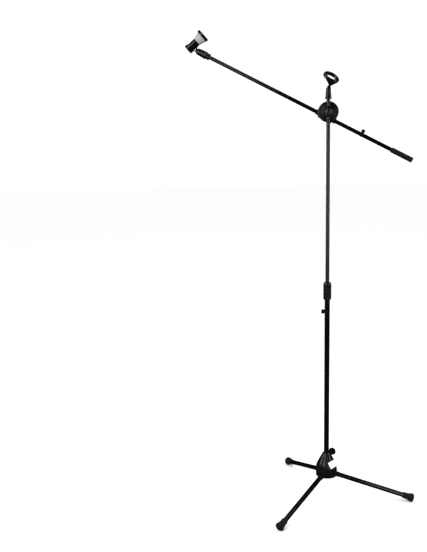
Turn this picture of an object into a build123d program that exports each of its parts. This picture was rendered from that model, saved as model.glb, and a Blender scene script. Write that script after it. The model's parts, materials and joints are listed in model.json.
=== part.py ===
"""Boom microphone stand: tripod base, telescopic column, swivel, boom and two microphone clips.

Frame: millimetres, +Z up, the origin on the floor under the column's axis, +X to the boom's rear
end, +Y behind the stand. The boom lies in a plane parallel to XZ, behind the column.
"""
from build123d import *

import os
from math import cos, radians, sin

os.makedirs("parts", exist_ok=True)

# Fits, as radial gaps
RUNNING = 0.05
CLEAR = 0.35

# Tubes: outer radius and wall
LOWER_R, LOWER_WALL = 11.0, 1.5
UPPER_R, UPPER_WALL = 8.0, 1.5
LEG_R, LEG_WALL = 10.0, 1.2

# Base: a bell with a rim, a straight skirt, a shoulder and a cone up to the neck
RIM_Z, RIM_R = 104.0, 45.0
SKIRT_TOP_Z = 124.0
SHOULDER_Z, SHOULDER_R = 160.5, 39.5
CONE_TOP_Z, CONE_TOP_R = 197.0, 20.5
BELL_TOP_Z, BELL_TOP_R = 206.0, 14.5
BELL_WALL = 3.5
SOCKET_R = 15.0
SOCKET_FLOOR_Z = 110.0

# Legs: they fold up about a hinge that sits above each leg's own axis
LEG_AZIMUTHS = (0, 120, 240)
LEG_SLOPE = 16.0
HINGE_R, HINGE_Z = 38.0, 129.8
LEG_DROP = 18.5
LEG_SLOT = 20.6
KNUCKLE_W = 19.4
LUG_R = 8.5
PIN_R = 3.0
CHEEK = 3.0
TUBE_START, TUBE_END = 22.0, 341.0
FOOT_START, FOOT_END, FOOT_R = 306.0, 353.0, 17.8

# Thumb screw that clamps the column in the base
SCREW_Z, SCREW_AZIMUTH = 193.0, 60.0
SCREW_R = 4.0
NUT_START = 30.0
SCREW_BOSS_R, SCREW_BOSS_END = 10.0, 36.0
SCREW_HEAD_START, SCREW_HEAD_LEN, SCREW_HEAD_R = 43.5, 14.0, 15.8

# Column
LOWER_TOP_Z = 905.0
UPPER_FOOT_Z, UPPER_TOP_Z = 795.0, 1706.0
CLUTCH_Z0, CLUTCH_Z1, CLUTCH_R = 884.5, 958.0, 16.8
SLEEVE_R = 13.9
CABLE_CLIP_Z = 832.5

# Swivel: the pivot crosses the column's axis, the boom passes below and behind it
HUB_Z = 1656.0
DISC_R = 42.2
DISC_FRONT, DISC_BACK = 9.0, 17.0
WASHER_BACK = 18.5
REAR_DISC_BACK = 26.0
BOOM_Y = 38.0
SHOE_BACK = 50.0
BOLT_R = 4.0
BOSS_R, BOSS_END_R, BOSS_H = 17.5, 11.5, 43.0
SLEEVE_HALF, SLEEVE_OUT = 44.0, 11.2

# Boom: distances along it from the pivot, positive to the rear end
BOOM_TILT = 28.0
BOOM_DROP = 19.5
BOOM_FRONT, BOOM_REAR = -541.0, 386.0
GRIP_FRONT, GRIP_REAR, GRIP_R = 297.0, 392.0, 10.8
BOOM_CLIP_POS = 162.0

# Threaded studs that carry the clips
STUD_R, STUD_LEN, STUD_PLUG = 7.6, 15.0, 22.0

# Boom clip, along its own axis from the hinge screw; its elevation is from the horizontal
CLIP_AXIS_H = 23.2
CLIP_ELEVATION = 39.5
CLIP_REAR, CLIP_COLLAR, CLIP_WAIST, CLIP_LIP, CLIP_FRONT = -24.0, -7.0, 27.0, 55.0, 66.0
CLIP_REAR_R, CLIP_WAIST_R, CLIP_LIP_R = 19.4, 17.6, 27.8
CLIP_WALL, LINER_WALL = 2.0, 2.2
CLIP_SLOT = 24.0
SPINE_W = 16.0
SCREW_M4 = 2.0
TINE_R = 4.9
LUG_HALF = 3.2
GUSSET = 16.0
TINE_HALF = 7.4
BOOM_NECK = (13.0, 15.0, 15.6, 13.0)
BOOM_NECK_LEN = 66.0

# Ring clip on the column: elevation of its axis, and the turn of its fork about the column
RING_ELEVATION = 48.0
RING_TURN = -45.0
RING_R, RING_BORE_R, RING_LEN, RING_EASE = 34.0, 23.0, 13.0, 1.5
RING_AHEAD, RING_ABOVE = 38.0, 14.0
ARM_NECK = 11.0
TOP_NECK = (13.6, 4.0, 12.0, 10.4)
TOP_NECK_LEN = 45.0


def rod(radius, z0, z1):
    """Cylinder on the Z axis between two heights."""
    return Pos(0, 0, z0) * Cylinder(radius, z1 - z0, align=(Align.CENTER, Align.CENTER, Align.MIN))


def tube(outer, inner, z0, z1):
    return rod(outer, z0, z1) - rod(inner, z0 - 1, z1 + 1)


def turned(points):
    """Solid of revolution about Z. Two numbers are the next point, as radius and height; four are
    an arc's middle point and its end."""
    edges = []
    last = None
    for point in points:
        if len(point) == 2 and last is not None:
            edges.append(Line((last[0], 0, last[1]), (point[0], 0, point[1])))
        if len(point) == 4:
            edges.append(ThreePointArc((last[0], 0, last[1]), (point[0], 0, point[1]),
                                       (point[2], 0, point[3])))
        last = point[-2:]
    edges.append(Line((last[0], 0, last[1]), (points[0][0], 0, points[0][1])))
    return revolve(make_face(Curve() + edges), Axis.Z)


def along_y(shape):
    """Turn a shape built on Z so that it lies on +Y."""
    return Rot(-90, 0, 0) * shape


def save(name, shape):
    shape.label = name
    export_step(shape, f"parts/{name}.step")


# ---------------------------------------------------------------- base
def bell_profile(inset):
    """The bell's turned outline, moved in by a wall thickness; the mouth reaches the rim."""
    top = BELL_TOP_Z - (inset * 2.2 if inset else 0)
    return turned([
        (0, RIM_Z), (RIM_R - inset, RIM_Z), (RIM_R + 0.4 - inset, SKIRT_TOP_Z),
        (RIM_R - 0.9 - inset, 145.0, SHOULDER_R - inset, SHOULDER_Z - inset * 0.4),
        (CONE_TOP_R - inset, CONE_TOP_Z - inset * 1.2),
        (BELL_TOP_R + 2.2 - inset, top - 3.0, BELL_TOP_R - inset, top),
        (0, top),
    ])


def base_body():
    outer = bell_profile(0)
    mouth = rod(RIM_R - BELL_WALL, RIM_Z - 5, RIM_Z + 0.5)
    body = outer - bell_profile(BELL_WALL) - mouth
    body += rod(SOCKET_R, RIM_Z + 2, BELL_TOP_Z - 2)
    cheek = Pos(28, 0, HINGE_Z + 1) * Box(34, CHEEK, 38)
    slot_h = HINGE_Z + LUG_R + 2.0 - (RIM_Z - 10)
    slot = Pos(42, 0, RIM_Z - 10 + slot_h / 2) * Box(50, LEG_SLOT, slot_h)
    slot = fillet(slot.edges().filter_by(Axis.X).group_by(Axis.Z)[-1], 4.0)
    for azimuth in LEG_AZIMUTHS:
        turn = Rot(0, 0, azimuth)
        for side in (-1, 1):
            wall = turn * Pos(0, side * (LEG_SLOT + CHEEK) / 2, 0) * cheek
            body += wall & outer
        body -= turn * slot
        body -= turn * Pos(HINGE_R, 0, HINGE_Z) * along_y(
            rod(PIN_R, -LEG_SLOT / 2 - CHEEK, LEG_SLOT / 2 + CHEEK))
    # Boss and hole for the thumb screw
    aim = Rot(0, 0, SCREW_AZIMUTH) * Pos(0, 0, SCREW_Z) * Rot(0, 90, 0)
    body += aim * rod(SCREW_BOSS_R, 12, SCREW_BOSS_END)
    body -= rod(LOWER_R + 0.02, SOCKET_FLOOR_Z, BELL_TOP_Z + 1)
    body -= aim * rod(SCREW_R + RUNNING, 5, 40)
    body -= aim * Pos(0, 0, NUT_START - 0.1) * extrude(RegularPolygon(7.0, 6), SCREW_BOSS_END)
    return body


def base_label():
    """A thin blank sticker on the cone, cut to a slanted four-sided outline seen from the front."""
    skin_t = 0.35
    skin = bell_profile(0)
    grown = bell_profile(-skin_t)
    outline = make_face(Polyline((39, 0, 177), (7.5, 0, 154.5), (20.5, 0, 127.5), (51.5, 0, 151.4),
                                 close=True))
    prism = extrude(outline, 70, dir=Vector(0, -0.906, 0.423))
    label = (grown - skin) & prism
    keep = label.solids().sort_by(SortBy.VOLUME)[-1]
    return keep


def thumb_screw_shank():
    aim = Rot(0, 0, SCREW_AZIMUTH) * Pos(0, 0, SCREW_Z) * Rot(0, 90, 0)
    shank = rod(SCREW_R, LOWER_R + 0.05, SCREW_HEAD_START + 8)
    shank = chamfer(shank.edges().group_by(Axis.Z)[0], 0.8)
    return aim * shank


def thumb_screw_head():
    """Hand knob with flutes round its rim and a narrower collar on the shank's side."""
    aim = Rot(0, 0, SCREW_AZIMUTH) * Pos(0, 0, SCREW_Z) * Rot(0, 90, 0)
    start = SCREW_HEAD_START
    head = rod(SCREW_HEAD_R, start, start + SCREW_HEAD_LEN)
    head = fillet(head.edges().filter_by(GeomType.CIRCLE), 2.0)
    head += rod(7.5, start - 4, start + 1)
    flute = rod(3.0, start - 1, start + SCREW_HEAD_LEN + 1)
    for k in range(8):
        head -= Rot(0, 0, 45 * k) * Pos(SCREW_HEAD_R + 1.4, 0, 0) * flute
    head -= rod(SCREW_R, start - 5, start + 8)
    return aim * head


def screw_insert_nut():
    aim = Rot(0, 0, SCREW_AZIMUTH) * Pos(0, 0, SCREW_Z) * Rot(0, 90, 0)
    nut = extrude(RegularPolygon(6.95, 6), 5.5) - rod(SCREW_R + RUNNING, -1, 7)
    return aim * Pos(0, 0, NUT_START) * nut


# ---------------------------------------------------------------- legs
def place_leg(shape, azimuth):
    """From the leg's own frame, with the hinge at its origin and +X down the leg, to the stand's."""
    return Rot(0, 0, azimuth) * Pos(HINGE_R, 0, HINGE_Z) * Rot(0, LEG_SLOPE, 0) * shape


def leg_axis(shape):
    """From Z to the leg's tube axis in the leg's own frame."""
    return Pos(0, 0, -LEG_DROP) * Rot(0, 90, 0) * shape


def leg_knuckle():
    height = 19.6
    block = Pos((TUBE_START - 10) / 2, 0, -LEG_DROP) * Box(TUBE_START + 10, KNUCKLE_W, height)
    block = fillet(block.edges().filter_by(Axis.X), 4.5)
    lug = along_y(rod(LUG_R, -7.0, 7.0))
    lug += Pos(0, 0, -LEG_DROP / 2) * Box(2 * LUG_R, 14.0, LEG_DROP)
    knuckle = block + lug + leg_axis(rod(LEG_R - LEG_WALL, TUBE_START - 1, TUBE_START + 25))
    knuckle -= along_y(rod(PIN_R + RUNNING, -12, 12))
    return knuckle


def leg_tube():
    return leg_axis(tube(LEG_R, LEG_R - LEG_WALL, TUBE_START, TUBE_END))


def leg_pin():
    return along_y(rod(PIN_R, -LEG_SLOT / 2 - CHEEK + 0.1, LEG_SLOT / 2 + CHEEK - 0.1))


def foot():
    """Flared rubber cap, slightly domed at its end, cut flat where it stands."""
    cap = turned([
        (0, FOOT_START), (12.2, FOOT_START), (13.0, FOOT_START + 1.5), (13.2, FOOT_START + 16),
        (14.6, FOOT_START + 26, FOOT_R, FOOT_END - 11),
        (FOOT_R - 0.9, FOOT_END - 3, FOOT_R - 6.3, FOOT_END), (0, FOOT_END),
    ])
    for k in range(3):
        z = FOOT_START + 4 + 4 * k
        cap -= tube(14.5, 12.5, z, z + 1.2)
    cap -= rod(LEG_R, FOOT_START - 1, TUBE_END)
    return leg_axis(cap)


# ---------------------------------------------------------------- column
def lower_tube():
    return tube(LOWER_R, LOWER_R - LOWER_WALL, SOCKET_FLOOR_Z, LOWER_TOP_Z)


def threaded_sleeve():
    """Collar fixed to the lower tube's top; its ribs stand for the thread under the grip."""
    sleeve = tube(SLEEVE_R - 0.8, LOWER_R, CLUTCH_Z0 + 3, LOWER_TOP_Z)
    for k in range(5):
        z = CLUTCH_Z0 + 5 + 3.2 * k
        sleeve += tube(SLEEVE_R, LOWER_R + 1, z, z + 1.6)
    return sleeve


def collet():
    """Slit cone that the grip squeezes on the upper tube."""
    z = LOWER_TOP_Z + 0.1
    bore = UPPER_R + RUNNING
    ring = turned([(bore, z), (12.4, z), (12.4, z + 20), (9.7, z + 40), (bore, z + 40)])
    for k in range(3):
        ring -= Rot(0, 0, 60 * k) * Pos(0, 0, z + 26) * Box(40, 1.2, 36)
    return ring


def clutch_grip():
    """Hand grip with chamfered ends and shallow rings, bored for the sleeve and the collet's cone."""
    z0, z1, r = CLUTCH_Z0, CLUTCH_Z1, CLUTCH_R
    grip = turned([(8.35, z0), (r - 2.2, z0), (r, z0 + 5), (r, z1 - 9), (r - 3.6, z1), (8.35, z1)])
    for k in range(10):
        z = z0 + 9 + 5.0 * k
        grip -= tube(r + 1, r - 0.7, z, z + 1.4)
    hollow = turned([
        (0, z0 - 1), (SLEEVE_R + RUNNING, z0 - 1), (SLEEVE_R + RUNNING, LOWER_TOP_Z + 21),
        (10.3, LOWER_TOP_Z + 43), (0, LOWER_TOP_Z + 43),
    ])
    return grip - hollow


def upper_tube():
    return tube(UPPER_R, UPPER_R - UPPER_WALL, UPPER_FOOT_Z, UPPER_TOP_Z)


def guide_bush():
    """Sliding bush on the foot of the upper tube, inside the lower one."""
    z = UPPER_FOOT_Z
    bore = LOWER_R - LOWER_WALL
    bush = tube(bore - RUNNING, UPPER_R, z, z + 40)
    bush += tube(bore - RUNNING, UPPER_R - UPPER_WALL, z - 3, z)
    return bush


def thread_stud(inner_r):
    """Plug for a tube's end with a ribbed stud on it; the tube ends at height 0."""
    stud = rod(inner_r, -STUD_PLUG, 0) + rod(inner_r + 1.0, 0, 1.5) + rod(STUD_R - 0.7, 0, STUD_LEN)
    for k in range(5):
        stud += rod(STUD_R, 3.0 + 2.4 * k, 4.2 + 2.4 * k)
    return stud


def cable_clip(tube_r, height):
    """Open ring round a tube with an open hook for a cable on its -X side."""
    wall = 2.4
    hook_r = 4.0
    hook_x = -(tube_r + wall + hook_r + 1.2)
    clip = tube(tube_r + wall, tube_r + RUNNING, -height / 2, height / 2)
    clip += Pos(hook_x, 0, 0) * rod(hook_r + wall, -height / 2 - 2, height / 2 + 2)
    clip += Pos(hook_x / 2 - tube_r / 2, 0, 0) * Box(7, 7, height)
    clip -= rod(tube_r + RUNNING, -height, height)
    clip -= Pos(hook_x, 0, 0) * rod(hook_r, -height, height)
    clip -= Pos(tube_r + 2, 0, 0) * Box(tube_r, tube_r * 1.3, 2 * height)
    clip -= Pos(hook_x - hook_r, 0, 0) * Box(2 * hook_r, 4.6, 2 * height)
    return clip


# ---------------------------------------------------------------- swivel
def to_hub(shape):
    """From a frame whose +Z runs back along the pivot bolt to the stand's frame."""
    return Pos(0, 0, HUB_Z) * Rot(-90, 0, 0) * shape


def along_boom(shape):
    """From Z to the boom's axis: height 0 is beside the pivot, +Z runs to the rear end."""
    return (Pos(0, BOOM_Y, HUB_Z) * Rot(0, BOOM_TILT, 0) * Pos(0, 0, -BOOM_DROP)
            * Rot(0, 90, 0) * shape)


def clamp_front():
    """Front disc with a stepped face and the boss that holds it on the upper tube."""
    face = turned([
        (0, DISC_FRONT - 2), (22, DISC_FRONT - 2), (26, DISC_FRONT), (29, DISC_FRONT + 1.2),
        (37.5, DISC_FRONT + 1.2), (41.2, DISC_FRONT + 2.4, DISC_R, DISC_FRONT + 5.5),
        (DISC_R, DISC_BACK), (0, DISC_BACK),
    ])
    half = BOSS_H / 2
    boss = Pos(0, 0, HUB_Z) * turned([(0, -half), (BOSS_END_R, -half), (BOSS_R, 0, BOSS_END_R, half),
                                      (0, half)])
    boss = fillet(boss.edges().filter_by(GeomType.CIRCLE), 1.5)
    saddle = to_hub(rod(19.0, -6.0, DISC_FRONT))
    body = to_hub(face) + boss + saddle
    body -= rod(UPPER_R + RUNNING, HUB_Z - 60, HUB_Z + 60)
    # Square seat for the pivot bolt's head, and its hole
    body -= Pos(0, 6.0, HUB_Z) * Box(17.0, 13.2, 17.0, align=(Align.CENTER, Align.MIN, Align.CENTER)) \
        - rod(UPPER_R + 2.5, HUB_Z - 60, HUB_Z + 60)
    body -= to_hub(rod(BOLT_R + RUNNING, 5, 30))
    return body


def pivot_bolt():
    """Square-headed bolt; its head sits behind the column, its thread carries the hand knob."""
    head = Pos(0, 0, 10.6) * Box(13, 13, 5.2, align=(Align.CENTER, Align.CENTER, Align.MIN))
    shank = rod(BOLT_R, 15.0, SHOE_BACK + 17.0)
    shank = chamfer(shank.edges().group_by(Axis.Z)[-1], 0.8)
    return to_hub(head + shank)


def friction_washer():
    return to_hub(tube(37.0, BOLT_R + 5.5, DISC_BACK, WASHER_BACK))


def clamp_rear():
    """Rear disc with the front half of the boom's channel."""
    disc = tube(DISC_R - 2.5, BOLT_R + RUNNING, WASHER_BACK, REAR_DISC_BACK)
    disc = chamfer(disc.edges().group_by(Axis.Z)[-1].sort_by(SortBy.LENGTH)[-1], 2.0)
    depth = BOOM_Y - 0.3 - REAR_DISC_BACK + 2
    bar = Pos(0, REAR_DISC_BACK - 2, -BOOM_DROP + 5) * Box(60, depth, 44,
                                                         align=(Align.CENTER, Align.MIN, Align.CENTER))
    sleeve = Pos(0, BOOM_Y, -BOOM_DROP) * Rot(0, 90, 0) * rod(SLEEVE_OUT, -SLEEVE_HALF, SLEEVE_HALF)
    sleeve &= Pos(0, BOOM_Y - 0.3, -BOOM_DROP) * Box(200, 40, 60,
                                                   align=(Align.CENTER, Align.MAX, Align.CENTER))
    body = along_y(disc) + bar + sleeve
    body -= Pos(0, BOOM_Y, -BOOM_DROP) * Rot(0, 90, 0) * rod(UPPER_R + RUNNING, -90, 90)
    body -= along_y(rod(BOLT_R + RUNNING, 0, 60))
    return Pos(0, 0, HUB_Z) * Rot(0, BOOM_TILT, 0) * body


def boom_shoe():
    """Rear half of the boom's channel, which the hand knob presses on."""
    depth = SHOE_BACK - BOOM_Y - 0.3
    bar = Pos(0, BOOM_Y + 0.3, -BOOM_DROP + 5) * Box(60, depth, 44,
                                                   align=(Align.CENTER, Align.MIN, Align.CENTER))
    bar = fillet(bar.edges().filter_by(Axis.Y), 8.0)
    bar = chamfer(bar.edges().group_by(Axis.Y)[-1], 2.0)
    bar -= Pos(0, BOOM_Y, -BOOM_DROP) * Rot(0, 90, 0) * rod(UPPER_R + RUNNING, -90, 90)
    bar -= along_y(rod(BOLT_R + RUNNING, 0, 80))
    return Pos(0, 0, HUB_Z) * Rot(0, BOOM_TILT, 0) * bar


def clamp_knob():
    """Six-lobed hand knob behind the boom."""
    z0 = SHOE_BACK + CLEAR
    knob = turned([(0, z0), (11, z0), (11, z0 + 6), (21.5, z0 + 6), (23.5, z0 + 8), (23.5, z0 + 17),
                   (20.5, z0 + 20), (0, z0 + 20)])
    for k in range(6):
        knob -= Rot(0, 0, 60 * k) * Pos(27.0, 0, 0) * rod(7.5, z0 + 5, z0 + 21)
    knob -= rod(7.0, z0 - 1, z0 + 14)
    knob -= rod(BOLT_R + 0.4, z0, z0 + 18)
    return to_hub(knob)


def knob_insert():
    """Knurled threaded insert moulded into the hand knob."""
    z0 = SHOE_BACK + CLEAR
    return to_hub(tube(7.0, BOLT_R + RUNNING, z0, z0 + 14))


# ---------------------------------------------------------------- boom
def boom_tube():
    return along_boom(tube(UPPER_R, UPPER_R - UPPER_WALL, BOOM_FRONT, BOOM_REAR))


def boom_end_grip():
    """Square-ended rubber sleeve with shallow rings and a dished end."""
    grip = turned([
        (0, GRIP_FRONT), (GRIP_R - 1.8, GRIP_FRONT), (GRIP_R, GRIP_FRONT + 3), (GRIP_R, GRIP_REAR - 1),
        (GRIP_R - 1, GRIP_REAR), (GRIP_R - 3, GRIP_REAR), (GRIP_R - 4, GRIP_REAR - 2), (0, GRIP_REAR - 2),
    ])
    for k in range(13):
        z = GRIP_FRONT + 12 + 5.6 * k
        grip -= tube(GRIP_R + 1, GRIP_R - 0.6, z, z + 1.6)
    return along_boom(grip - rod(UPPER_R, GRIP_FRONT - 1, BOOM_REAR))


# ---------------------------------------------------------------- clips
def clip_base(outline, length, stud_depth):
    """Threaded base with a knurled collar, a tapered neck and a fork. The tube's end is at 0 and the
    hinge at the given length; outline is the collar's radius and height, then the neck's two radii."""
    collar_r, collar_h, skirt_r, neck_r = outline
    body = turned([
        (0, 0), (collar_r, 0), (collar_r, collar_h), (skirt_r, collar_h + 1.5),
        (neck_r, length - 12), (neck_r - 1.6, length - 8), (0, length - 8),
    ])
    for k in range(16):
        body -= Rot(0, 0, 22.5 * k) * Pos(collar_r + 0.4, 0, -1) * rod(0.9, 0, collar_h)
    shoulder = neck_r - 3.5
    tine = make_face(Polyline((-shoulder, 0, -9), (shoulder, 0, -9), (shoulder, 0, -7.5), (TINE_R, 0, 0),
                              (-TINE_R, 0, 0), (-shoulder, 0, -7.5), close=True))
    tines = extrude(tine, TINE_HALF, both=True) + along_y(rod(TINE_R, -TINE_HALF, TINE_HALF))
    body += Pos(0, 0, length) * tines
    gap_z = length - 8.5
    body -= Pos(0, 0, gap_z) * Box(60, 2 * LUG_HALF + 0.7, 40,
                                   align=(Align.CENTER, Align.CENTER, Align.MIN))
    body -= Pos(0, 0, length) * along_y(rod(SCREW_M4 + RUNNING, -20, 20))
    return body - rod(STUD_R + RUNNING, -1, stud_depth)


def hinge_screw():
    """Pan-headed screw through the fork, with its head on the -Y side."""
    shank = along_y(rod(SCREW_M4, -TINE_HALF, TINE_HALF + 4.5))
    head = along_y(rod(3.8, -TINE_HALF - 2.4, -TINE_HALF))
    head = fillet(head.edges().group_by(Axis.Y)[0], 1.2)
    head -= Pos(0, -TINE_HALF - 2.4, 0) * Box(5.4, 1.8, 0.9)
    head -= Pos(0, -TINE_HALF - 2.4, 0) * Box(0.9, 1.8, 5.4)
    return shank + head


def hinge_nut():
    nut = extrude(RegularPolygon(4.0, 6), 3.2) - rod(SCREW_M4, -1, 5)
    return Pos(0, TINE_HALF, 0) * along_y(nut)


def on_clip_axis(shape):
    """From Z to the clip's bore axis in the clip's frame: hinge at the origin, +X to the mouth."""
    return Pos(0, 0, CLIP_AXIS_H) * Rot(0, 90, 0) * shape


def clip_lug(reach):
    """Flat ear round the hinge screw that widens up into the clip's underside."""
    ear_r = TINE_R - 0.4
    ear = along_y(rod(ear_r, -LUG_HALF, LUG_HALF))
    web = make_face(Polyline((-ear_r, 0, 0), (ear_r, 0, 0), (GUSSET, 0, reach - 2.4),
                             (GUSSET + 8, 0, reach - 0.4), (GUSSET + 8, 0, reach), (-13, 0, reach),
                             (-8.5, 0, 2.5), close=True))
    return ear + extrude(web, LUG_HALF, both=True)


def open_top(low_z, width):
    """Cutter for the mouth along the clip's top."""
    return Pos(0, 0, low_z) * Box(300, width, 80, align=(Align.CENTER, Align.CENTER, Align.MIN))


def boom_clip_body():
    """Ribbed barrel, a spine along the underside and a thick lip, joined into one moulding."""
    barrel = turned([
        (CLIP_WAIST_R - CLIP_WALL, CLIP_REAR), (CLIP_REAR_R - 1, CLIP_REAR), (CLIP_REAR_R, CLIP_REAR + 1),
        (CLIP_REAR_R - 0.4, CLIP_COLLAR - 1.5), (CLIP_WAIST_R, CLIP_COLLAR), (CLIP_WAIST_R, CLIP_WAIST),
        (CLIP_WAIST_R - CLIP_WALL, CLIP_WAIST),
    ])
    for k in range(2):
        z = CLIP_REAR + 2 + 7 * k
        barrel += tube(CLIP_REAR_R + 1.3 - 0.2 * k, CLIP_WAIST_R, z, z + 4)
    lip = turned([
        (CLIP_LIP_R - 5.5, CLIP_LIP), (CLIP_LIP_R - 1, CLIP_LIP), (CLIP_LIP_R, CLIP_LIP + 1.5),
        (CLIP_LIP_R, CLIP_FRONT - 2), (CLIP_LIP_R - 2, CLIP_FRONT), (CLIP_LIP_R - 5.5, CLIP_FRONT),
    ])
    flare = turned([
        (CLIP_WAIST_R - CLIP_WALL, CLIP_WAIST), (CLIP_WAIST_R, CLIP_WAIST), (CLIP_LIP_R - 2.5, CLIP_LIP + 1),
        (CLIP_LIP_R - 5.5, CLIP_LIP + 1),
    ])
    spine = on_clip_axis(flare) & (Pos(45, 0, CLIP_AXIS_H - 30) * Box(60, SPINE_W, 60))
    body = on_clip_axis(barrel) + on_clip_axis(lip) + spine
    body -= open_top(CLIP_AXIS_H, CLIP_SLOT)
    body += clip_lug(CLIP_AXIS_H - CLIP_WAIST_R + 1)
    return body - along_y(rod(SCREW_M4 + RUNNING, -20, 20))


def boom_clip_liner():
    """Soft pale sleeve inside the clip; it shows between the barrel and the lip."""
    t = LINER_WALL
    inner = CLIP_WAIST_R - CLIP_WALL
    mouth = CLIP_LIP_R - 5.7
    sleeve = turned([
        (inner - t, CLIP_REAR + 1), (inner, CLIP_REAR + 1), (inner, CLIP_WAIST + 0.01),
        (mouth, CLIP_LIP + 0.5), (mouth, CLIP_FRONT - 1), (mouth - t, CLIP_FRONT - 1),
        (mouth - t, CLIP_LIP + 0.5), (inner - t, CLIP_WAIST),
    ])
    outer = turned([
        (inner, CLIP_WAIST + 0.2), (CLIP_WAIST_R - 0.4, CLIP_WAIST + 0.2),
        (CLIP_LIP_R - 2.9, CLIP_LIP - 0.2), (mouth, CLIP_LIP - 0.2),
    ])
    skin = on_clip_axis(outer) - Pos(45, 0, CLIP_AXIS_H - 30) * Box(60, SPINE_W + 0.4, 60)
    liner = on_clip_axis(sleeve) + skin
    return liner - open_top(CLIP_AXIS_H, CLIP_SLOT)


def place_boom_clip(shape):
    """Hinge at the neck's fork on the boom's front end."""
    reach = -BOOM_FRONT + BOOM_NECK_LEN
    tilt = radians(BOOM_TILT)
    x = -reach * cos(tilt) - BOOM_DROP * sin(tilt)
    z = HUB_Z + reach * sin(tilt) - BOOM_DROP * cos(tilt)
    return Pos(x, BOOM_Y, z) * Rot(0, -CLIP_ELEVATION, 0) * shape


def place_boom_neck(shape):
    """From a base that stands on Z to the boom's front end, its fork's screw across the boom's plane."""
    return along_boom(Pos(0, 0, BOOM_FRONT) * Rot(180, 0, 0) * shape)


def ring_clip_body():
    """Thick closed ring on a half funnel that widens from the hinge, for a stout microphone."""
    rear = RING_AHEAD - RING_LEN / 2
    front = RING_AHEAD + RING_LEN / 2
    ring = turned([
        (RING_BORE_R, rear + RING_EASE), (RING_BORE_R + RING_EASE, rear), (RING_R - 3, rear),
        (RING_R, rear + 3), (RING_R, front - 3), (RING_R - 3, front),
        (RING_BORE_R + RING_EASE, front), (RING_BORE_R, front - RING_EASE),
    ])
    to_ring = Pos(0, 0, RING_ABOVE) * Rot(0, 90, 0)
    neck = Pos(ARM_NECK / 2, 0, -0.5) * Box(ARM_NECK, 2 * LUG_HALF, 8.6)
    narrow, wide = (
        make_face(Polyline([(0, y, z) for y, z in half] + [(0, -y, z) for y, z in half[::-1]], close=True))
        for half in (((LUG_HALF, 3.8), (LUG_HALF, -0.5), (LUG_HALF, -4.8)),
                     ((RING_R - 1.5, 0), (RING_R - 6, -RING_R / 2), (RING_R * 0.4, -RING_R + 3.5))))
    fan = loft([Pos(ARM_NECK - 1, 0, 0) * narrow, Pos(rear + 3, 0, RING_ABOVE) * wide])
    clear_r = RING_BORE_R + RING_EASE + 0.2
    fan -= to_ring * turned([(0, ARM_NECK + 1), (RING_ABOVE - 5, ARM_NECK + 1), (clear_r, rear),
                             (clear_r, front + 5), (0, front + 5)])
    ear = along_y(rod(TINE_R - 0.4, -LUG_HALF, LUG_HALF))
    body = to_ring * ring + fan + neck + ear
    return body - along_y(rod(SCREW_M4 + RUNNING, -20, 20))


def place_top(shape):
    return Pos(0, 0, UPPER_TOP_Z) * Rot(0, 0, RING_TURN) * shape


def place_ring_clip(shape):
    return place_top(Pos(0, 0, TOP_NECK_LEN) * Rot(0, -RING_ELEVATION, 0) * shape)


# ---------------------------------------------------------------- write every node
save("base_body", base_body())
save("base_label", base_label())
save("thumb_screw_shank", thumb_screw_shank())
save("thumb_screw_head", thumb_screw_head())
save("screw_insert_nut", screw_insert_nut())
for number, azimuth in enumerate(LEG_AZIMUTHS, start=1):
    save(f"leg_{number}_knuckle", place_leg(leg_knuckle(), azimuth))
    save(f"leg_{number}_tube", place_leg(leg_tube(), azimuth))
    save(f"leg_{number}_pin", place_leg(leg_pin(), azimuth))
    standing = place_leg(foot(), 0) - Pos(300, 0, -50) * Box(300, 100, 100)
    save(f"foot_{number}", Rot(0, 0, azimuth) * standing)

save("lower_tube", lower_tube())
save("threaded_sleeve", threaded_sleeve())
save("collet", collet())
save("clutch_grip", clutch_grip())
save("lower_cable_clip", Pos(0, 0, CABLE_CLIP_Z) * cable_clip(LOWER_R, 12.0))
save("upper_tube", upper_tube())
save("guide_bush", guide_bush())
save("top_stud", Pos(0, 0, UPPER_TOP_Z) * thread_stud(UPPER_R - UPPER_WALL))

save("clamp_front", clamp_front())
save("friction_washer", friction_washer())
save("clamp_rear", clamp_rear())
save("pivot_bolt", pivot_bolt())
save("boom_shoe", boom_shoe())
save("clamp_knob", clamp_knob())
save("knob_insert", knob_insert())

save("boom_tube", boom_tube())
save("boom_end_grip", boom_end_grip())
save("boom_stud", place_boom_neck(thread_stud(UPPER_R - UPPER_WALL)))
save("boom_cable_clip", along_boom(Pos(0, 0, BOOM_CLIP_POS) * cable_clip(UPPER_R, 10.0)))

save("boom_clip_base", place_boom_neck(clip_base(BOOM_NECK, BOOM_NECK_LEN, 18.0)))
save("boom_clip_body", place_boom_clip(boom_clip_body()))
save("boom_clip_liner", place_boom_clip(boom_clip_liner()))
save("boom_clip_screw", place_boom_clip(hinge_screw()))
save("boom_clip_nut", place_boom_clip(hinge_nut()))

save("top_clip_base", place_top(clip_base(TOP_NECK, TOP_NECK_LEN, 18.0)))
save("top_clip_body", place_ring_clip(ring_clip_body()))
save("top_clip_screw", place_ring_clip(hinge_screw()))
save("top_clip_nut", place_ring_clip(hinge_nut()))
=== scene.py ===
"""Looks of the boom microphone stand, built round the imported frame.

Turned pieces (tubes, grips, feet, knobs, necks) are rebuilt as dense lathe meshes, whose sizes are
read from their CAD nodes. Moulded and machined pieces are their CAD shape with real edge rounds.
Profiles are in millimetres, as (radius, height) along a piece's own axis; all else is in metres.
"""
import json
import math

import bmesh
import bpy
from mathutils import Matrix, Vector


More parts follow.
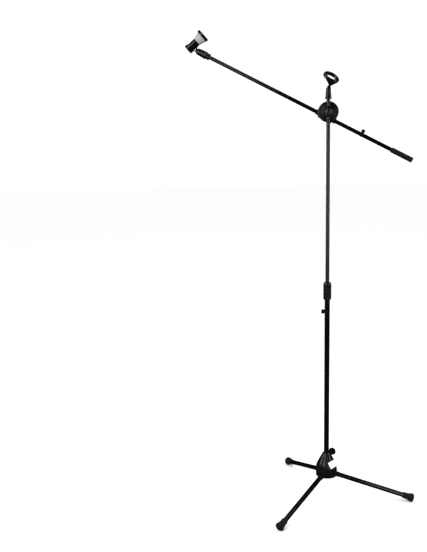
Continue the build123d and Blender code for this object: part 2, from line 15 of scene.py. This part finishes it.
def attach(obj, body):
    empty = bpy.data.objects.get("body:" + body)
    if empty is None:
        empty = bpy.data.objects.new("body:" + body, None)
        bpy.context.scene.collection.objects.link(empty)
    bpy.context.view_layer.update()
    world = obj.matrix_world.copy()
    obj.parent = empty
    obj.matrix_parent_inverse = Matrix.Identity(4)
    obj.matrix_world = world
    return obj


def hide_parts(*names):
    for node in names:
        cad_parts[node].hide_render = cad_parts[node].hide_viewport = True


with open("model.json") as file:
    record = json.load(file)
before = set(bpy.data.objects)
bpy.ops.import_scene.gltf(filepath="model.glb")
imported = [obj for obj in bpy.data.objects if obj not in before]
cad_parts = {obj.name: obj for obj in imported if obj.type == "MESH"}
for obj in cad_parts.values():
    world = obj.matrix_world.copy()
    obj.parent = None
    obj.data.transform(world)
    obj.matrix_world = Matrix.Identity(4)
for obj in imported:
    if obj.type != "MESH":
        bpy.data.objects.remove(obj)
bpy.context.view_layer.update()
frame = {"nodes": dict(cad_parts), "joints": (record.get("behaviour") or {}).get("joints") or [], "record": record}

MM = 0.001
SEGMENTS = 96
EDGE_ROUND = 0.35
TUBE_WALL = 1.5
LEG_WALL = 1.2
CLEARANCE = 0.05
JOINTS = {joint["name"]: joint for joint in frame["joints"]}
BODY_OF = {node: body for body, nodes in frame["record"]["behaviour"]["bodies"].items()
           for node in nodes}


# ---------------------------------------------------------------- places, from the record
def place(origin, z_axis, x_axis):
    """Matrix of a frame at origin with the given Z, and X as near as it can be to x_axis."""
    z = Vector(z_axis).normalized()
    y = z.cross(Vector(x_axis)).normalized()
    x = y.cross(z)
    matrix = Matrix((x, y, z)).transposed().to_4x4()
    matrix.translation = Vector(origin)
    return matrix


UP = Vector((0, 0, 1))
COLUMN = Matrix.Identity(4)
BOOM = place(JOINTS["boom_clip_turn"]["pos_m"], JOINTS["boom_slide"]["axis"], UP)
HUB = place(JOINTS["swivel_turn"]["pos_m"], (0, 1, 0), (1, 0, 0))
SCREW = place((0, 0, JOINTS["base_screw_turn"]["pos_m"][2]), JOINTS["base_screw_turn"]["axis"], UP)
LEG_SLOPE = math.radians(16.0)
LEG_DROP = 18.5 * MM


def leg_place(number):
    """Along a leg's tube: origin level with its hinge, +Z towards the foot, +X up."""
    joint = JOINTS[f"leg_{number}_fold"]
    side = Vector(joint["axis"])
    out = UP.cross(side) * -1
    if out.dot(Vector(joint["pos_m"])) < 0:
        out = -out
    along = out * math.cos(LEG_SLOPE) - UP * math.sin(LEG_SLOPE)
    over = out * math.sin(LEG_SLOPE) + UP * math.cos(LEG_SLOPE)
    return place(Vector(joint["pos_m"]) - over * LEG_DROP, along, over)


def reach(node, matrix):
    """A node's extent in a place's frame, in mm: lowest height, highest height, largest radius."""
    inverse = matrix.inverted()
    points = [inverse @ vertex.co for vertex in frame["nodes"][node].data.vertices]
    heights = [point.z / MM for point in points]
    return min(heights), max(heights), max(point.xy.length for point in points) / MM


# ---------------------------------------------------------------- meshes
def corner(before, point, after, radius):
    """Four points of a small arc in place of a profile's corner."""
    a, p, b = Vector(before), Vector(point), Vector(after)
    cut = min(radius, 0.45 * (a - p).length, 0.45 * (b - p).length)
    start = p + (a - p).normalized() * cut
    end = p + (b - p).normalized() * cut
    steps = (0.0, 0.33, 0.67, 1.0)
    return [start * (1 - t) ** 2 + p * 2 * t * (1 - t) + end * t ** 2 for t in steps]


def rounded(points, radius, closed):
    """A profile with an arc at every corner that turns; an open one keeps its ends on the axis."""
    count = len(points)
    outline = [] if closed else [Vector(points[0])]
    for k in range(0 if closed else 1, count if closed else count - 1):
        outline += corner(points[k - 1], points[k], points[(k + 1) % count], radius)
    return outline if closed else outline + [Vector(points[-1])]


def lathe(points, closed=False, radius=EDGE_ROUND, shape=None, segments=SEGMENTS, pitch=None):
    """A turned bmesh. shape(angle, r, z) returns a new radius, for flutes and lobes; pitch splits
    long straight runs so that no span is longer than that."""
    outline = rounded(points, radius, closed)
    if pitch:
        outline = split(outline, pitch, closed)
    mesh = bmesh.new()
    rings = []
    for r, z in outline:
        ring = []
        for k in range(segments):
            angle = 2 * math.pi * k / segments
            radial = shape(angle, r, z) if shape and r > 0 else r
            ring.append(mesh.verts.new((radial * MM * math.cos(angle), radial * MM * math.sin(angle),
                                        z * MM)))
        rings.append(ring)
    spans = list(zip(rings, rings[1:] + rings[:1])) if closed else list(zip(rings, rings[1:]))
    for low, high in spans:
        for k in range(segments):
            n = (k + 1) % segments
            mesh.faces.new((low[k], low[n], high[n], high[k]))
    bmesh.ops.remove_doubles(mesh, verts=mesh.verts, dist=1e-7)
    bmesh.ops.recalc_face_normals(mesh, faces=mesh.faces)
    return mesh


def split(outline, pitch, closed):
    """The outline with long spans cut into equal shorter ones."""
    ends = outline[1:] + (outline[:1] if closed else [])
    finer = []
    for a, b in zip(outline, ends):
        parts = max(1, math.ceil((b - a).length / pitch))
        finer += [a.lerp(b, k / parts) for k in range(parts)]
    return finer if closed else finer + [outline[-1]]


def smooth(piece):
    """Smooth shading with face-weighted normals, so flats stay flat beside their edge rounds."""
    piece.data.shade_smooth()
    modifier = piece.modifiers.new("normals", "WEIGHTED_NORMAL")
    modifier.keep_sharp = True
    return piece


def add(name, mesh, node, material, matrix=COLUMN, hides=()):
    """A bmesh as a piece that stands for CAD nodes and rides with their body."""
    data = bpy.data.meshes.new(name)
    mesh.transform(matrix)
    mesh.to_mesh(data)
    mesh.free()
    piece = bpy.data.objects.new(name, data)
    bpy.context.scene.collection.objects.link(piece)
    data.materials.append(material)
    smooth(piece)
    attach(piece, BODY_OF[node])
    if hides:
        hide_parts(*hides)
    return piece


def dressed(node, material, edge=0.4, angle=32.0):
    """The CAD shape with its sharp edges rounded by edge mm."""
    source = frame["nodes"][node]
    mesh = bmesh.new()
    mesh.from_mesh(source.data)
    bmesh.ops.remove_doubles(mesh, verts=mesh.verts, dist=2e-6)
    bmesh.ops.dissolve_limit(mesh, angle_limit=math.radians(0.6), verts=mesh.verts, edges=mesh.edges,
                             use_dissolve_boundaries=False)
    bmesh.ops.recalc_face_normals(mesh, faces=mesh.faces)
    piece = add(node + "_shell", mesh, node, material, hides=[node])
    if edge:
        bevel = piece.modifiers.new("edges", "BEVEL")
        bevel.width = edge * MM
        bevel.segments = 2
        bevel.limit_method = "ANGLE"
        bevel.angle_limit = math.radians(angle)
        bevel.harden_normals = False
        bevel.use_clamp_overlap = True
        bpy.context.view_layer.objects.active = piece
        piece.modifiers.move(len(piece.modifiers) - 1, 0)
    return piece


# ---------------------------------------------------------------- materials
class Paint:
    """A Principled material and the nodes that vary it, in the piece's own coordinates."""

    def __init__(self, name, **sockets):
        self.material = bpy.data.materials.new(name)
        self.material.use_nodes = True
        self.tree = self.material.node_tree
        self.shader = self.tree.nodes["Principled BSDF"]
        for socket, value in sockets.items():
            self.shader.inputs[socket.replace("_", " ")].default_value = value
        self.coords = self.tree.nodes.new("ShaderNodeTexCoord").outputs["Object"]

    def node(self, kind, inputs=(), **settings):
        made = self.tree.nodes.new("ShaderNode" + kind)
        for key, value in settings.items():
            setattr(made, key, value)
        for socket, value in dict(inputs).items():
            if isinstance(value, bpy.types.NodeSocket):
                self.tree.links.new(value, made.inputs[socket])
            else:
                made.inputs[socket].default_value = value
        return made

    def noise(self, scale, detail=3.0, stretch=None):
        """Noise of scale features per metre, drawn out along axes by stretch."""
        vector = self.coords
        if stretch:
            vector = self.node("Mapping", {"Vector": vector, "Scale": stretch}).outputs[0]
        made = self.node("TexNoise", {"Vector": vector, "Scale": scale, "Detail": detail})
        return made.outputs["Fac"]

    def span(self, value, low, high, from_low=0.35, from_high=0.65):
        return self.node("MapRange", {"Value": value, "From Min": from_low, "From Max": from_high,
                                      "To Min": low, "To Max": high}).outputs[0]

    def tint(self, factor, dark, light):
        mix = self.node("Mix", {"Factor": factor}, data_type="RGBA")
        mix.inputs[6].default_value = (*dark, 1)
        mix.inputs[7].default_value = (*light, 1)
        return mix.outputs[2]

    def edges(self, low=0.52, high=0.60):
        """Zero on flats, one along worn convex edges."""
        pointed = self.node("NewGeometry").outputs["Pointiness"]
        return self.span(pointed, 0.0, 1.0, low, high)

    def both(self, a, b, operation="MULTIPLY"):
        return self.node("Math", {0: a, 1: b}, operation=operation).outputs[0]

    def bump(self, height, depth, strength=1.0, after=None):
        inputs = {"Height": height, "Distance": depth * MM, "Strength": strength}
        if after:
            inputs["Normal"] = after
        return self.node("Bump", inputs).outputs[0]

    def set(self, socket, value):
        self.tree.links.new(value, self.shader.inputs[socket])


def coated(name, dark, light, rough, grain_depth, coat=0.0):
    """Gloss powder coat: orange peel, faint clouding and handling marks in the gloss."""
    paint = Paint(name, Coat_Weight=coat, Coat_Roughness=0.12, Specular_IOR_Level=0.5)
    cloud = paint.noise(9.0, 4.0)
    scuffs = paint.noise(160.0, 6.0, (1.0, 1.0, 0.25))
    paint.set("Base Color", paint.tint(paint.span(cloud, 0.0, 1.0), dark, light))
    gloss = paint.both(paint.span(cloud, rough - 0.04, rough + 0.03),
                       paint.span(scuffs, 0.0, 0.09, 0.55, 0.75), "ADD")
    paint.set("Roughness", gloss)
    paint.set("Normal", paint.bump(paint.noise(1100.0, 2.0), grain_depth, 0.6))
    return paint.material


def moulded(name, dark, light, rough, grain, depth):
    """Moulded plastic: a spark-eroded grain, slow clouding, dust in the gloss and paler edges."""
    paint = Paint(name, Specular_IOR_Level=0.4)
    cloud = paint.noise(22.0, 3.0)
    wear = paint.both(paint.edges(), paint.span(paint.noise(300.0, 4.0), 0.2, 1.0))
    body = paint.tint(paint.span(cloud, 0.0, 1.0), dark, light)
    rubbed = paint.node("Mix", {"Factor": paint.both(wear, 0.35)}, data_type="RGBA")
    rubbed.inputs[7].default_value = (*[min(1.0, c * 4 + 0.012) for c in light], 1)
    paint.tree.links.new(body, rubbed.inputs[6])
    paint.set("Base Color", rubbed.outputs[2])
    fine = paint.noise(grain, 3.0)
    paint.set("Roughness", paint.both(paint.span(cloud, rough - 0.04, rough + 0.04),
                                      paint.both(paint.span(fine, -0.05, 0.05), wear, "SUBTRACT"),
                                      "ADD"))
    paint.set("Normal", paint.bump(fine, depth, 0.8))
    return paint.material


def rubber(name, dark, light, rough, speck=1600.0):
    """Matt rubber: fine pitting, a little sheen and grey bloom where it has been handled."""
    paint = Paint(name, Specular_IOR_Level=0.3, Sheen_Weight=0.02, Sheen_Roughness=0.6)
    bloom = paint.noise(55.0, 5.0)
    paint.set("Base Color", paint.tint(paint.span(bloom, 0.0, 1.0, 0.4, 0.75), dark, light))
    paint.set("Roughness", paint.span(bloom, rough - 0.06, rough + 0.08))
    pits = paint.noise(speck, 2.0)
    paint.set("Normal", paint.bump(pits, 0.03, 0.7, paint.bump(paint.noise(180.0), 0.05, 0.3)))
    return paint.material


def metal(name, dark, light, rough, stretch):
    """Machined or plated metal with drawn-out tool marks."""
    paint = Paint(name, Metallic=1.0, Anisotropic=0.35)
    marks = paint.noise(700.0, 4.0, stretch)
    paint.set("Base Color", paint.tint(paint.span(paint.noise(60.0), 0.0, 1.0), dark, light))
    paint.set("Roughness", paint.span(marks, rough - 0.08, rough + 0.10))
    paint.set("Normal", paint.bump(marks, 0.01, 0.5))
    return paint.material


def film(name):
    """Thin white sticker film with a faint wrinkle and a slightly grey rub."""
    paint = Paint(name, Specular_IOR_Level=0.4, Coat_Weight=0.25, Coat_Roughness=0.2)
    rub = paint.noise(90.0, 4.0)
    paint.set("Base Color", paint.tint(paint.span(rub, 0.0, 1.0, 0.5, 0.8), (0.93, 0.93, 0.93),
                                       (0.84, 0.84, 0.85)))
    paint.set("Roughness", paint.span(rub, 0.30, 0.45))
    paint.set("Normal", paint.bump(paint.noise(140.0, 2.0), 0.06, 0.4))
    return paint.material


TUBE = coated("tube_black", (0.0010, 0.0010, 0.0012), (0.0022, 0.0022, 0.0025), 0.15, 0.004,
              coat=0.3)
# The upper tube's paint is the tube powder coat made rougher and without clear coat; its lighter colour is painted
# light, standing in for the brighter light on the top of the column.
UPPER_PAINTED_LIGHT = coated("upper_black", (0.004, 0.004, 0.005), (0.009, 0.009, 0.010), 0.23, 0.004)
HUB_BLACK = moulded("hub_black", (0.0020, 0.0023, 0.0030), (0.0040, 0.0046, 0.0060),
                    0.28, 1500.0, 0.008)
CLIP_BLACK = moulded("clip_black", (0.0014, 0.0014, 0.0016), (0.0030, 0.0030, 0.0034),
                     0.24, 1300.0, 0.008)
GRIP_BLACK = rubber("grip_black", (0.0018, 0.0018, 0.0020), (0.0045, 0.0045, 0.0048), 0.55)
FOOT_BLACK = rubber("foot_black", (0.0022, 0.0022, 0.0026), (0.0060, 0.0060, 0.0066), 0.58)
STEEL = metal("steel", (0.50, 0.50, 0.51), (0.62, 0.62, 0.63), 0.30, (1.0, 1.0, 0.1))
BRASS = metal("brass", (0.66, 0.49, 0.22), (0.76, 0.60, 0.30), 0.28, (1.0, 1.0, 0.1))
LINER = rubber("liner_grey", (0.26, 0.26, 0.265), (0.33, 0.33, 0.335), 0.50, 2200.0)
LABEL = film("label_white")
FIBRE = rubber("washer_grey", (0.10, 0.095, 0.09), (0.20, 0.19, 0.18), 0.80)


# ---------------------------------------------------------------- pieces
def tube_piece(name, node, matrix, wall, material):
    """A drawn tube with its cut ends broken, split lengthwise for even shading."""
    low, high, outer = reach(node, matrix)
    inner = outer - wall
    ring = [(inner, low), (outer, low), (outer, high), (inner, high)]
    add(name, lathe(ring, closed=True, pitch=60.0), node, material, matrix, [node])


def foot_piece(number):
    """Flared rubber foot: a beaded mouth, grooves, a waisted flare and a domed tread cut flat."""
    matrix = leg_place(number)
    node = f"foot_{number}"
    low, high, outer = reach(node, matrix)
    _, tube_end, bore = reach(f"leg_{number}_tube", matrix)
    profile = [(bore, low), (bore + 2.2, low), (bore + 3.0, low + 1.5)]
    grooves, groove_pitch = 3, 4
    for k in range(grooves):
        z = low + groove_pitch + groove_pitch * k
        profile += [(bore + 3.05, z), (bore + 2.5, z + 0.15), (bore + 2.5, z + 1.1),
                    (bore + 3.1, z + 1.2)]
    start, end = low + 17, high - 11
    steps, flare = 6, 1.1
    for k in range(steps + 1):
        t = k / steps
        profile.append((bore + 3.2 + (outer - bore - 4.0) * t ** flare, start + (end - start) * t))
    profile += [(outer - 0.1, high - 8.5), (outer, high - 7), (outer - 0.6, high - 4.2),
                (outer - 2.6, high - 1.9), (outer - 5.4, high - 0.5), (outer - 8, high), (0, high)]
    inside = [(0, tube_end), (bore, tube_end)]
    mesh = lathe(inside + profile, radius=0.6)
    mesh.transform(matrix)
    for vertex in mesh.verts:
        vertex.co.z = max(vertex.co.z, 0.0)
    add(node + "_rubber", mesh, node, FOOT_BLACK, hides=[node])


def clutch_piece():
    """Twist grip: chamfered ends, ten shallow rings and fine lengthwise ribs between them."""
    low, high, outer = reach("clutch_grip", COLUMN)
    _, sleeve_top, sleeve = reach("threaded_sleeve", COLUMN)
    neck, collet_room = 8.35, 10.3
    bore = sleeve + CLEARANCE
    profile = [(bore, low), (outer - 2.2, low), (outer, low + 5)]
    grooves, groove_pitch = 10, 5.0
    for k in range(grooves):
        z = low + 9 + groove_pitch * k
        profile += [(outer, z), (outer - 0.7, z + 0.2), (outer - 0.7, z + 1.2), (outer, z + 1.4)]
    profile += [(outer, high - 9), (outer - 3.6, high), (neck, high)]
    shoulder, cone_start = sleeve_top + 43, sleeve_top + 21
    profile += [(neck, shoulder), (collet_room, shoulder), (bore, cone_start)]
    rib_count, rib_depth = 40, 0.14

    def ribs(angle, r, z):
        held = low + 6 < z < high - 10 and r > outer - 0.5
        return r - (rib_depth * (1 - math.cos(rib_count * angle)) if held else 0.0)

    mesh = lathe(profile, closed=True, radius=0.3, shape=ribs, segments=320)
    add("clutch_grip_body", mesh, "clutch_grip", HUB_BLACK, hides=["clutch_grip"])


def end_grip_piece():
    """Square-ended rubber sleeve: lead-in cone, close rings and a dished end."""
    low, high, outer = reach("boom_end_grip", BOOM)
    _, tube_end, bore = reach("boom_tube", BOOM)
    profile = [(0, tube_end), (bore, tube_end), (bore, low), (outer - 1.8, low), (outer, low + 3)]
    rings, ring_pitch = 13, 5.6
    for k in range(rings):
        z = low + 12 + ring_pitch * k
        profile += [(outer, z), (outer - 0.6, z + 0.2), (outer - 0.6, z + 1.4), (outer, z + 1.6)]
    profile += [(outer, high - 1), (outer - 1, high), (outer - 3, high), (outer - 4, high - 2),
                (0, high - 2)]
    mesh = lathe(profile, radius=0.3)
    add("boom_end_grip_rubber", mesh, "boom_end_grip", GRIP_BLACK, BOOM, ["boom_end_grip"])


def lobes(count, depth, outer, sharp=1.0):
    """Radius rule for a knob whose rim has scallops; the face near its middle stays round."""
    def shape(angle, r, z):
        fade = max(0.0, min(1.0, (r - outer * 0.55) / (outer * 0.3)))
        dip = (0.5 - 0.5 * math.cos(count * angle)) ** sharp
        return r - depth * dip * fade
    return shape


def hand_knob_piece():
    """Six-lobed hand knob with its collar, a recessed face and the hole for its insert."""
    low, high, outer = reach("clamp_knob", HUB)
    bore = reach("knob_insert", HUB)[2]
    profile = [
        (bore, low), (11.0, low), (11.0, low + 6), (outer - 2, low + 6), (outer, low + 8.5),
        (outer, high - 4), (outer - 3.2, high - 0.6), (outer - 9, high), (outer - 10, high - 0.9),
        (0, high - 0.9), (0, low + 17.5), (4.4, low + 17.5), (4.4, low + 14), (bore, low + 14),
    ]
    mesh = lathe(profile, closed=True, radius=0.9, shape=lobes(6, 5.5, outer, 1.4), segments=144)
    add("clamp_knob_body", mesh, "clamp_knob", HUB_BLACK, HUB, ["clamp_knob"])


def clamp_front_piece():
    """Stepped front disc, and the barrel-shaped boss that holds it on the upper tube."""
    _, back, outer = reach("clamp_front", HUB)
    disc = [(0, -6), (17.6, -6), (19, -4.6), (19, 7), (22, 7), (26, 9), (29, 10.2), (37.5, 10.2),
            (40.2, 10.9), (outer - 0.2, 13), (outer, back - 0.8), (outer - 0.8, back), (0, back)]
    add("clamp_front_disc", lathe(disc, radius=0.7), "clamp_front", HUB_BLACK, HUB, ["clamp_front"])
    bore = reach("upper_tube", COLUMN)[2] + CLEARANCE
    half, middle, end = 21.5, 17.5, 11.5
    outline = [(bore, -half)]
    steps = 8
    for k in range(-steps, steps + 1):
        outline.append((middle - (middle - end) * (k / steps) ** 2, half * k / steps))
    outline.append((bore, half))
    matrix = Matrix.Translation((0, 0, JOINTS["swivel_turn"]["pos_m"][2]))
    mesh = lathe(outline, closed=True, radius=0.9)
    add("clamp_front_boss", mesh, "clamp_front", HUB_BLACK, matrix, ["clamp_front"])


def thumb_screw_piece():
    """Eight-lobed head on a short collar."""
    low, high, outer = reach("thumb_screw_head", SCREW)
    shank = 4.0
    end = low + 13
    profile = [
        (shank, low), (6.5, low), (6.5, low + 5), (outer - 1.2, low + 5), (outer, low + 6.4),
        (outer, high - 1.8), (outer - 1.8, high - 0.2), (outer - 4.2, high), (outer - 4.9, high - 0.7),
        (0, high - 0.7), (0, end), (shank, end),
    ]
    mesh = lathe(profile, closed=True, radius=0.5, shape=lobes(8, 1.6, outer, 2.0), segments=160)
    add("thumb_screw_head_body", mesh, "thumb_screw_head", HUB_BLACK, SCREW, ["thumb_screw_head"])


tube_piece("lower_tube_steel", "lower_tube", COLUMN, TUBE_WALL, TUBE)
# The upper tube takes the lighter paint, whose extra lightness is painted light.
tube_piece("upper_tube_steel", "upper_tube", COLUMN, TUBE_WALL, UPPER_PAINTED_LIGHT)
tube_piece("boom_tube_steel", "boom_tube", BOOM, TUBE_WALL, TUBE)
for number in (1, 2, 3):
    tube_piece(f"leg_{number}_tube_steel", f"leg_{number}_tube", leg_place(number), LEG_WALL, TUBE)
    foot_piece(number)
    dressed(f"leg_{number}_knuckle", HUB_BLACK, 0.8)
    dressed(f"leg_{number}_pin", STEEL, 0.3)
clutch_piece()
end_grip_piece()
hand_knob_piece()
thumb_screw_piece()
clamp_front_piece()

DRESSED = {
    "base_body": (HUB_BLACK, 0.7), "base_label": (LABEL, 0.0), "screw_insert_nut": (STEEL, 0.2),
    "thumb_screw_shank": (STEEL, 0.2), "threaded_sleeve": (HUB_BLACK, 0.2), "collet": (HUB_BLACK, 0.2),
    "lower_cable_clip": (CLIP_BLACK, 0.5), "guide_bush": (HUB_BLACK, 0.2), "top_stud": (STEEL, 0.2),
    "friction_washer": (FIBRE, 0.2), "clamp_rear": (HUB_BLACK, 0.6),
    "pivot_bolt": (STEEL, 0.3), "boom_shoe": (HUB_BLACK, 0.6), "knob_insert": (BRASS, 0.2),
    "boom_stud": (STEEL, 0.2), "boom_cable_clip": (CLIP_BLACK, 0.5),
    "boom_clip_base": (CLIP_BLACK, 0.4), "boom_clip_body": (CLIP_BLACK, 0.4),
    "boom_clip_liner": (LINER, 0.3), "boom_clip_screw": (STEEL, 0.15), "boom_clip_nut": (STEEL, 0.3),
    "top_clip_base": (CLIP_BLACK, 0.4), "top_clip_body": (CLIP_BLACK, 0.5),
    "top_clip_screw": (STEEL, 0.15), "top_clip_nut": (STEEL, 0.3),
}
for node, (material, edge) in DRESSED.items():
    dressed(node, material, edge)


# ---------------------------------------------------------------- floor, light, camera
def floor_piece():
    """Pale floor that takes shadows; the black paint doesn't mirror it."""
    mesh = bmesh.new()
    bmesh.ops.create_circle(mesh, cap_ends=True, segments=64, radius=40.0)
    data = bpy.data.meshes.new("floor")
    mesh.to_mesh(data)
    mesh.free()
    floor = bpy.data.objects.new("floor", data)
    paint = Paint("floor_pale", Roughness=0.9, Specular_IOR_Level=0.1)
    paint.set("Base Color", paint.tint(paint.noise(3.0), (0.90, 0.90, 0.90), (0.93, 0.93, 0.93)))
    data.materials.append(paint.material)
    bpy.context.scene.collection.objects.link(floor)
    floor.visible_glossy = False


def softbox(name, at, aim, size, watts):
    """A rectangular area light at a point, turned to face another."""
    light = bpy.data.lights.new(name, "AREA")
    light.shape = "RECTANGLE"
    light.size, light.size_y = size
    light.energy = watts
    lamp = bpy.data.objects.new(name, light)
    lamp.location = at
    lamp.rotation_euler = (Vector(aim) - Vector(at)).to_track_quat("-Z", "Y").to_euler()
    bpy.context.scene.collection.objects.link(lamp)


def studio():
    """White to the eye and to matt surfaces, a dark room in the reflections, six softboxes.

    The reflections are dark because the black gloss paint would mirror the white and look grey.
    """
    world = bpy.data.worlds.new("studio")
    bpy.context.scene.world = world
    world.use_nodes = True
    world.cycles.sampling_method = "NONE"
    nodes, links = world.node_tree.nodes, world.node_tree.links
    white = nodes["Background"]
    white.inputs["Color"].default_value = (1.0, 1.0, 1.0, 1)
    white.inputs["Strength"].default_value = 1.12
    dark = nodes.new("ShaderNodeBackground")
    dark.inputs["Color"].default_value = (0.95, 0.97, 1.0, 1)
    dark.inputs["Strength"].default_value = 0.012
    mix = nodes.new("ShaderNodeMixShader")
    links.new(nodes.new("ShaderNodeLightPath").outputs["Is Glossy Ray"], mix.inputs["Fac"])
    links.new(white.outputs[0], mix.inputs[1])
    links.new(dark.outputs[0], mix.inputs[2])
    links.new(mix.outputs[0], nodes["World Output"].inputs["Surface"])
    softbox("key", (-1.6, -2.6, 2.6), (0, 0, 1.0), (0.25, 2.2), 26)
    softbox("rim", (2.4, -0.5, 1.7), (0, 0, 1.2), (0.25, 1.8), 18)
    softbox("left", (-2.4, -0.4, 1.7), (0, 0, 1.2), (0.25, 1.8), 18)
    softbox("right", (1.3, -2.7, 1.1), (0, 0, 0.3), (0.15, 1.2), 10)
    softbox("top", (0.0, 0.3, 4.2), (0, 0, 0), (1.6, 1.6), 25)
    softbox("front", (-1.3, -2.5, 1.15), (-0.1, 0, 1.4), (0.35, 0.8), 5)


def camera():
    """Eye in front of the column at head height, looking a little down and to the left."""
    distance, height = 2.929, 1.459
    yaw, pitch, roll = (math.radians(a) for a in (9.36, -9.138, -1.173))
    forward = Vector((-math.sin(yaw) * math.cos(pitch), math.cos(yaw) * math.cos(pitch),
                      math.sin(pitch)))
    right = Vector((math.cos(yaw), math.sin(yaw), 0))
    up = right.cross(forward)
    across = right * math.cos(roll) + up * math.sin(roll)
    above = up * math.cos(roll) - right * math.sin(roll)
    matrix = Matrix((across, above, -forward)).transposed().to_4x4()
    matrix.translation = Vector((0.0, -distance, height))
    data = bpy.data.cameras.new("camera")
    data.lens, data.sensor_width = 45.65, 36.0
    data.clip_end = 100
    eye = bpy.data.objects.new("camera", data)
    eye.matrix_world = matrix
    bpy.context.scene.collection.objects.link(eye)
    bpy.context.scene.camera = eye


floor_piece()
studio()
camera()
bpy.context.scene.view_settings.view_transform = "Standard"

bpy.context.view_layer.update()
